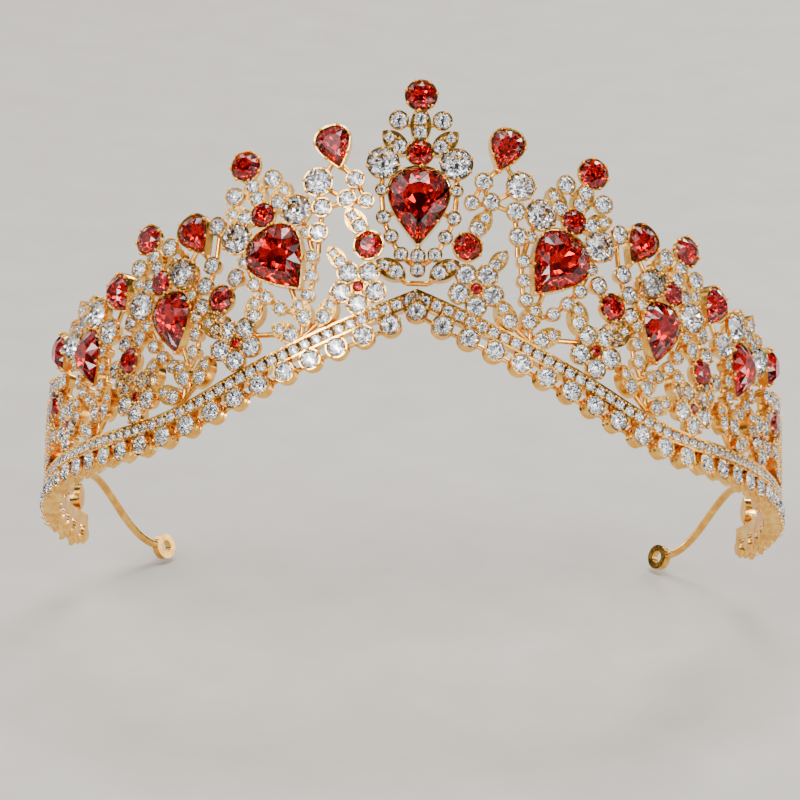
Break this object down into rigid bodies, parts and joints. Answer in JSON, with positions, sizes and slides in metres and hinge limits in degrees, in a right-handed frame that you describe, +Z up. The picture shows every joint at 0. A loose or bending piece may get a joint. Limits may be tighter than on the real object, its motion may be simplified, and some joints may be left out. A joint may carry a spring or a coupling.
{
  "type": "tiara",
  "caption": "Horseshoe tiara: pointed filigree front of pear, round and leaf-set stones over a jewelled rail with hanging drop stones, and plain rear wires ending in eyelets.",
  "frame": {"origin": "centre of the band's circle, where the head carries it, 6 mm above the foot of the drops square to the band", "axes": "+Z up on an upright head, front faces -Y, +X across the head; the band's circle is high at the front and slopes 35 degrees down to the ears"},
  "size_m": [0.1562, 0.1002, 0.1298],
  "materials": {
    "gold": "polished",
    "red_stone": "polished",
    "clear_stone": "polished"
  },
  "bodies": {
    "root": {"berries": "red_stone", "drop_cups_left": "gold", "drop_cups_right": "gold", "drop_stones_left": "clear_stone", "drop_stones_right": "clear_stone", "eyelet_left": "gold", "eyelet_right": "gold", "flower_eyes": "red_stone", "flower_left_1": "gold", "flower_left_2": "gold", "flower_left_3": "gold", "flower_left_4": "gold", "flower_right_1": "gold", "flower_right_2": "gold", "flower_right_3": "gold", "flower_right_4": "gold", "frond_clears": "clear_stone", "fronds_left": "gold", "fronds_right": "gold", "hoop_left": "gold", "hoop_right": "gold", "petals": "clear_stone", "rail": "gold", "rail_stones": "clear_stone", "spire_clears": "clear_stone", "spire_left_1": "gold", "spire_left_2": "gold", "spire_left_3": "gold", "spire_left_4": "gold", "spire_pears": "red_stone", "spire_right_1": "gold", "spire_right_2": "gold", "spire_right_3": "gold", "spire_right_4": "gold", "sprig_centre": "gold", "sprig_clears": "clear_stone", "sprig_left_1": "gold", "sprig_left_2": "gold", "sprig_left_3": "gold", "sprig_right_1": "gold", "sprig_right_2": "gold", "sprig_right_3": "gold", "tower_centre": "gold", "tower_clears": "clear_stone", "tower_left_1": "gold", "tower_left_2": "gold", "tower_left_3": "gold", "tower_pears": "red_stone", "tower_right_1": "gold", "tower_right_2": "gold", "tower_right_3": "gold", "tower_rounds": "red_stone"}
  },
  "joints": []
}
